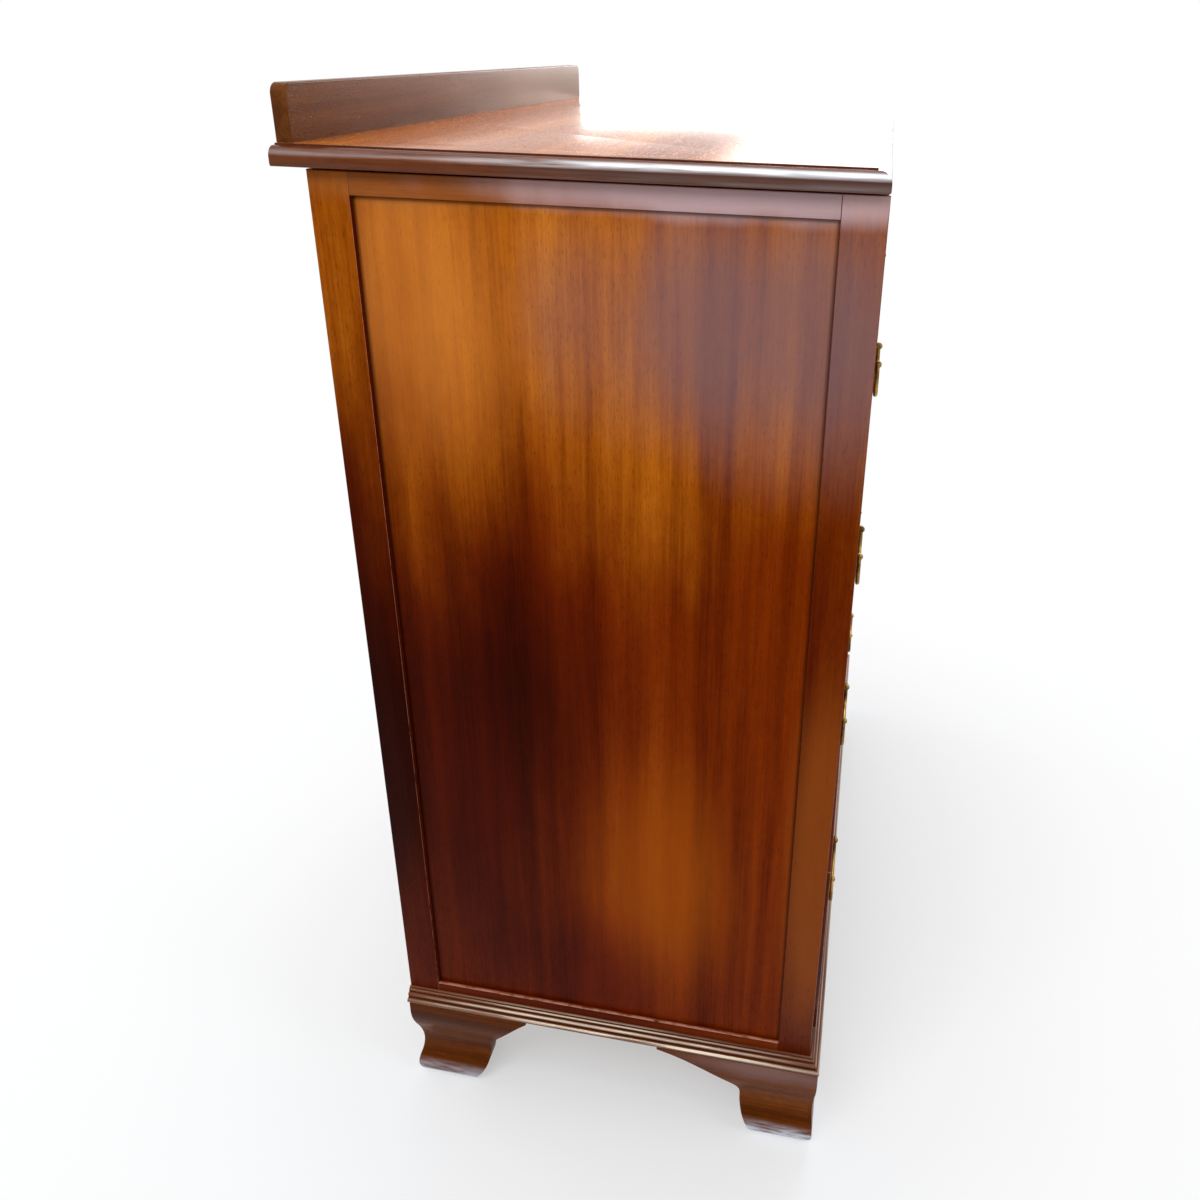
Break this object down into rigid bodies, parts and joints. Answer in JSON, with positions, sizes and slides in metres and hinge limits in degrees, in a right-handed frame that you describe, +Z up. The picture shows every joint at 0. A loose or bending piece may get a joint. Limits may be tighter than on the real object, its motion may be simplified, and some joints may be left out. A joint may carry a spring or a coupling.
{
  "type": "chiffonier",
  "caption": "Tall mahogany chest of drawers with a low backboard, framed panel sides, a reeded base moulding, ogee bracket feet and brass bail handles.",
  "frame": {"origin": "on the floor, under the middle of the whole piece", "axes": "+Z up, drawers open towards -Y, +X to the right of someone who faces the drawers"},
  "size_m": [0.87, 0.5214, 1.162],
  "materials": {
    "mahogany": "gloss",
    "carcase_pine": "matte",
    "drawer_lining": "matte",
    "brass": "satin",
    "screw_steel": "satin"
  },
  "bodies": {
    "case": {"top_board": "mahogany", "top_edge_moulding": "mahogany", "backboard": "mahogany", "left_front_stile": "mahogany", "left_back_stile": "mahogany", "left_side_rails": "mahogany", "left_side_panel": "mahogany", "right_front_stile": "mahogany", "right_back_stile": "mahogany", "right_side_rails": "mahogany", "right_side_panel": "mahogany", "top_front_rail": "mahogany", "drawer_dividers": "mahogany", "plinth_front_rail": "mahogany", "base_moulding": "mahogany", "left_front_foot": "mahogany", "right_front_foot": "mahogany", "left_back_foot": "mahogany", "right_back_foot": "mahogany", "back_frame": "carcase_pine", "back_panels": "carcase_pine", "drawer_runners": "carcase_pine", "top_kickers": "carcase_pine", "drawer_stops": "carcase_pine", "bottom_board": "carcase_pine", "assembly_screws": "screw_steel"},
    "frieze_drawer": {"frieze_drawer_front": "mahogany", "frieze_drawer_sides": "drawer_lining", "frieze_drawer_back": "drawer_lining", "frieze_drawer_bottom": "drawer_lining"},
    "first_drawer": {"first_drawer_front": "mahogany", "first_drawer_sides": "drawer_lining", "first_drawer_back": "drawer_lining", "first_drawer_bottom": "drawer_lining", "first_drawer_handle_fittings": "brass"},
    "first_drawer_left_bail": {"first_drawer_left_bail": "brass"},
    "first_drawer_right_bail": {"first_drawer_right_bail": "brass"},
    "second_drawer": {"second_drawer_front": "mahogany", "second_drawer_sides": "drawer_lining", "second_drawer_back": "drawer_lining", "second_drawer_bottom": "drawer_lining", "second_drawer_handle_fittings": "brass"},
    "second_drawer_left_bail": {"second_drawer_left_bail": "brass"},
    "second_drawer_right_bail": {"second_drawer_right_bail": "brass"},
    "third_drawer": {"third_drawer_front": "mahogany", "third_drawer_sides": "drawer_lining", "third_drawer_back": "drawer_lining", "third_drawer_bottom": "drawer_lining", "third_drawer_handle_fittings": "brass"},
    "third_drawer_left_bail": {"third_drawer_left_bail": "brass"},
    "third_drawer_right_bail": {"third_drawer_right_bail": "brass"},
    "bottom_drawer": {"bottom_drawer_front": "mahogany", "bottom_drawer_sides": "drawer_lining", "bottom_drawer_back": "drawer_lining", "bottom_drawer_bottom": "drawer_lining", "bottom_drawer_handle_fittings": "brass"},
    "bottom_drawer_left_bail": {"bottom_drawer_left_bail": "brass"},
    "bottom_drawer_right_bail": {"bottom_drawer_right_bail": "brass"}
  },
  "joints": [
    {"name": "frieze_drawer_slide", "type": "slide", "parent": "case", "child": "frieze_drawer", "axis": [0, -1, 0], "range_m": [0, 0.32]},
    {"name": "first_drawer_slide", "type": "slide", "parent": "case", "child": "first_drawer", "axis": [0, -1, 0], "range_m": [0, 0.32]},
    {"name": "first_drawer_left_bail_swing", "type": "hinge", "parent": "first_drawer", "child": "first_drawer_left_bail", "pos_m": [-0.271, -0.25235, 0.925], "axis": [-1, 0, 0], "range_deg": [-2, 180]},
    {"name": "first_drawer_right_bail_swing", "type": "hinge", "parent": "first_drawer", "child": "first_drawer_right_bail", "pos_m": [0.271, -0.25235, 0.925], "axis": [-1, 0, 0], "range_deg": [-2, 180]},
    {"name": "second_drawer_slide", "type": "slide", "parent": "case", "child": "second_drawer", "axis": [0, -1, 0], "range_m": [0, 0.32]},
    {"name": "second_drawer_left_bail_swing", "type": "hinge", "parent": "second_drawer", "child": "second_drawer_left_bail", "pos_m": [-0.271, -0.25235, 0.721], "axis": [-1, 0, 0], "range_deg": [-2, 180]},
    {"name": "second_drawer_right_bail_swing", "type": "hinge", "parent": "second_drawer", "child": "second_drawer_right_bail", "pos_m": [0.271, -0.25235, 0.721], "axis": [-1, 0, 0], "range_deg": [-2, 180]},
    {"name": "third_drawer_slide", "type": "slide", "parent": "case", "child": "third_drawer", "axis": [0, -1, 0], "range_m": [0, 0.32]},
    {"name": "third_drawer_left_bail_swing", "type": "hinge", "parent": "third_drawer", "child": "third_drawer_left_bail", "pos_m": [-0.271, -0.25235, 0.517], "axis": [-1, 0, 0], "range_deg": [-2, 180]},
    {"name": "third_drawer_right_bail_swing", "type": "hinge", "parent": "third_drawer", "child": "third_drawer_right_bail", "pos_m": [0.271, -0.25235, 0.517], "axis": [-1, 0, 0], "range_deg": [-2, 180]},
    {"name": "bottom_drawer_slide", "type": "slide", "parent": "case", "child": "bottom_drawer", "axis": [0, -1, 0], "range_m": [-0.004, 0.316]},
    {"name": "bottom_drawer_left_bail_swing", "type": "hinge", "parent": "bottom_drawer", "child": "bottom_drawer_left_bail", "pos_m": [-0.271, -0.25635, 0.2885], "axis": [-1, 0, 0], "range_deg": [-2, 180]},
    {"name": "bottom_drawer_right_bail_swing", "type": "hinge", "parent": "bottom_drawer", "child": "bottom_drawer_right_bail", "pos_m": [0.271, -0.25635, 0.2885], "axis": [-1, 0, 0], "range_deg": [-2, 180]}
  ]
}
